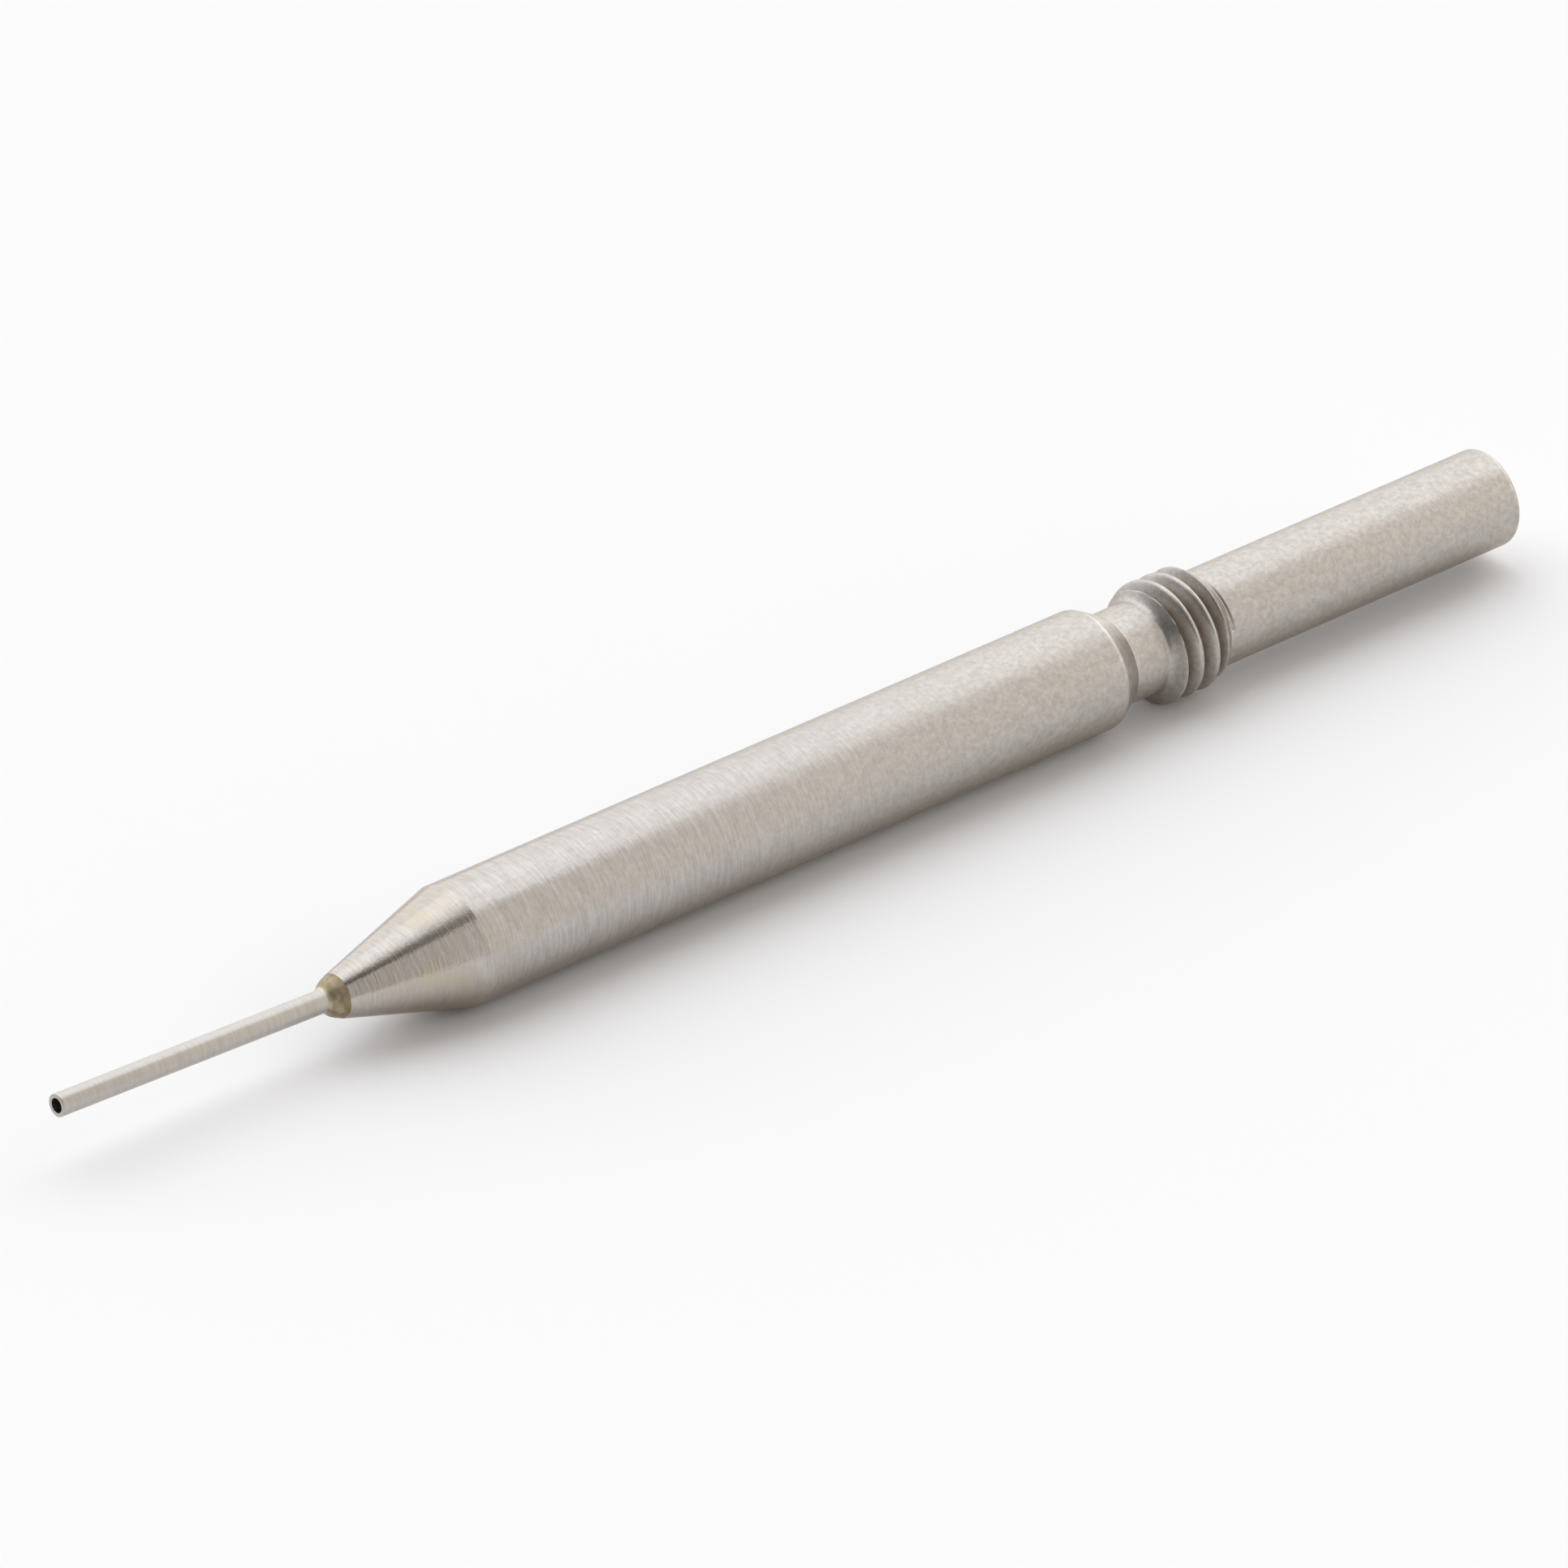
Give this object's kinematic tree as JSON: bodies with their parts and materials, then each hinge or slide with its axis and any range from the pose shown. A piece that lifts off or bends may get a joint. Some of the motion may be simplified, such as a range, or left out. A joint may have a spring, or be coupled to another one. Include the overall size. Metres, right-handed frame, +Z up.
{
  "type": "smt pick up nozzle",
  "caption": "Slim vacuum pick-up nozzle for small electronic parts: a steel needle tube brazed into a turned body with a tapered nose, a relief neck, a short male thread and a plain stem.",
  "frame": {"origin": "middle of the footprint, on the surface that the nozzle lies on", "axes": "+X along the nozzle from the tip to the stem, +Z up, the tube's bend in the XZ plane"},
  "size_m": [0.0436, 0.003, 0.003],
  "materials": {
    "turned_steel": "fine turned nose and barrel, matt tumbled stem",
    "needle_steel": "drawn tube, satin",
    "braze": "dull olive-yellow braze"
  },
  "bodies": {
    "root": {"nozzle_body": "turned_steel", "tip_tube": "needle_steel", "braze_joint": "braze"}
  },
  "joints": []
}
